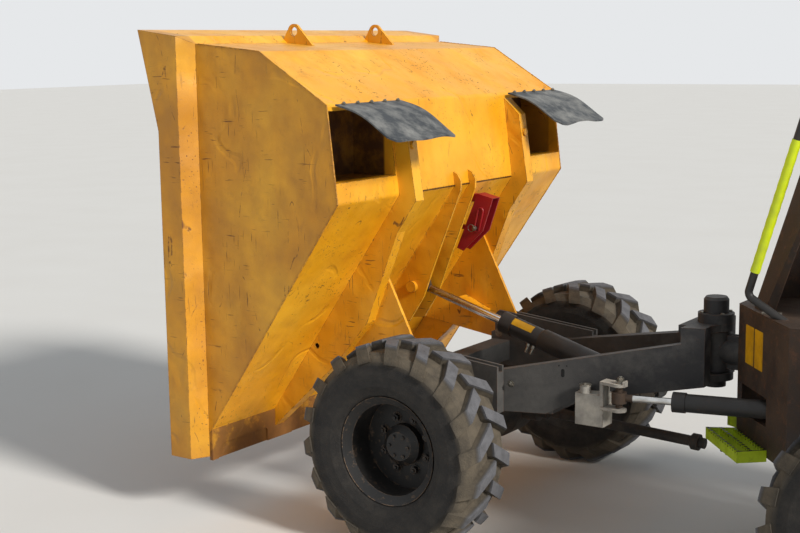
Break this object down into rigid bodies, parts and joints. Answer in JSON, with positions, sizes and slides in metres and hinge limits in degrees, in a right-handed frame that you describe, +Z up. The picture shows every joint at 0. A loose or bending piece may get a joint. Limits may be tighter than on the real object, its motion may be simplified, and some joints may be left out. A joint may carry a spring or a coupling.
{
  "type": "site dumper",
  "caption": "Articulated site dumper with a forward-tipping skip, a steering pivot, lugged tyres, a seat behind a console, a bonnet and a folding roll bar",
  "frame": {"origin": "on the ground under the middle of the machine's length", "axes": "+X forwards, +Y to the machine's left, +Z up"},
  "size_m": [4.118, 1.97, 2.5599],
  "materials": {
    "yellow_paint": "worn",
    "frame_paint": "dusty",
    "body_paint": "rusted",
    "cast_parts": "dusty",
    "tank_paint": "dusty",
    "pin_steel": "dull",
    "ram_paint": "dusty",
    "rod_chrome": "polished",
    "flap_rubber": "dusty",
    "prop_paint": "worn",
    "tyre": "dusty",
    "rim_paint": "dusty",
    "step_paint": "worn",
    "rail_paint": "worn",
    "seat_cover": "matt",
    "wheel_plastic": "matt",
    "pipe_steel": "rusted"
  },
  "bodies": {
    "front_unit": {"front_frame": "frame_paint", "steer_bracket": "frame_paint", "frame_pins": "pin_steel", "pivot_pin": "frame_paint", "front_axle": "cast_parts", "propshaft_front": "cast_parts"},
    "rear_unit": {"rear_axle": "cast_parts", "propshaft_rear": "cast_parts", "rear_chassis": "body_paint", "pivot_knuckle": "frame_paint", "nose": "body_paint", "deck": "body_paint", "steps": "step_paint", "cowl": "body_paint", "grab_rails": "rail_paint", "seat": "seat_cover", "rear_bumper": "body_paint", "engine_block": "cast_parts", "exhaust": "pipe_steel", "tanks": "tank_paint", "mudguards": "yellow_paint", "rops_posts": "body_paint", "control_levers": "body_paint"},
    "skip": {"skip_shell": "yellow_paint", "skip_boards": "yellow_paint", "lip_plate": "yellow_paint", "ribs": "yellow_paint", "middle_fins": "yellow_paint", "hinge_cheeks": "yellow_paint", "lifting_eyes": "yellow_paint", "flaps": "flap_rubber", "safety_prop": "prop_paint"},
    "tip_barrel": {"tip_barrel": "ram_paint"},
    "tip_rod": {"tip_rod": "rod_chrome"},
    "steer_barrel": {"steer_barrel": "ram_paint"},
    "steer_rod": {"steer_rod": "rod_chrome"},
    "wheel_front_left": {"tyre_front_left": "tyre", "rim_front_left": "rim_paint"},
    "wheel_front_right": {"tyre_front_right": "tyre", "rim_front_right": "rim_paint"},
    "wheel_rear_left": {"tyre_rear_left": "tyre", "rim_rear_left": "rim_paint"},
    "wheel_rear_right": {"tyre_rear_right": "tyre", "rim_rear_right": "rim_paint"},
    "bonnet": {"bonnet": "yellow_paint"},
    "rops_hoop": {"rops_hoop": "body_paint"},
    "steering_wheel": {"steering_wheel": "wheel_plastic"}
  },
  "joints": [
    {"name": "skip_tip", "type": "hinge", "parent": "front_unit", "child": "skip", "pos_m": [1.101, 0, 0.67], "axis": [0, 1, 0], "range_deg": [-80, 0]},
    {"name": "tip_barrel_swing", "type": "hinge", "parent": "front_unit", "child": "tip_barrel", "pos_m": [0.151, 0, 0.587], "axis": [0, 1, 0], "range_deg": [-8.5, 0.2]},
    {"name": "tip_rod_slide", "type": "slide", "parent": "tip_barrel", "child": "tip_rod", "axis": [0.9583, 0, 0.2858], "range_m": [-0.412, 0.001]},
    {"name": "articulation", "type": "hinge", "parent": "front_unit", "child": "rear_unit", "pos_m": [-0.109, 0, 0.76], "axis": [0, 0, 1], "range_deg": [-30, 30]},
    {"name": "steer_barrel_swing", "type": "hinge", "parent": "rear_unit", "child": "steer_barrel", "pos_m": [-0.539, 0.179, 0.63], "axis": [0, 0, 1], "range_deg": [-14, 14]},
    {"name": "steer_rod_slide", "type": "slide", "parent": "steer_barrel", "child": "steer_rod", "axis": [0.977, 0.2132, 0], "range_m": [-0.14, 0.14]},
    {"name": "wheel_front_left_spin", "type": "hinge", "parent": "front_unit", "child": "wheel_front_left", "pos_m": [0.891, 0.76, 0.43], "axis": [0, 1, 0], "continuous": true},
    {"name": "wheel_front_right_spin", "type": "hinge", "parent": "front_unit", "child": "wheel_front_right", "pos_m": [0.891, -0.76, 0.43], "axis": [0, 1, 0], "continuous": true},
    {"name": "wheel_rear_left_spin", "type": "hinge", "parent": "rear_unit", "child": "wheel_rear_left", "pos_m": [-1.039, 0.76, 0.43], "axis": [0, 1, 0], "continuous": true},
    {"name": "wheel_rear_right_spin", "type": "hinge", "parent": "rear_unit", "child": "wheel_rear_right", "pos_m": [-1.039, -0.76, 0.43], "axis": [0, 1, 0], "continuous": true},
    {"name": "bonnet_lift", "type": "hinge", "parent": "rear_unit", "child": "bonnet", "pos_m": [-1.954, 0, 0.79], "axis": [0, 1, 0], "range_deg": [-60, 0]},
    {"name": "rops_fold", "type": "hinge", "parent": "rear_unit", "child": "rops_hoop", "pos_m": [-1.209, 0, 1.46], "axis": [0, 1, 0], "range_deg": [-90, 0]},
    {"name": "steering_wheel_spin", "type": "hinge", "parent": "rear_unit", "child": "steering_wheel", "pos_m": [-0.629, 0, 1.7], "axis": [-0.4226, 0, 0.9063], "continuous": true}
  ],
  "couplings": [
    {"joint": "tip_barrel_swing", "follows": "skip_tip", "ratio": 0.1018},
    {"joint": "tip_rod_slide", "follows": "skip_tip", "m_per_rad": 0.2933},
    {"joint": "steer_barrel_swing", "follows": "articulation", "ratio": -0.4581},
    {"joint": "steer_rod_slide", "follows": "articulation", "m_per_rad": 0.2635}
  ]
}
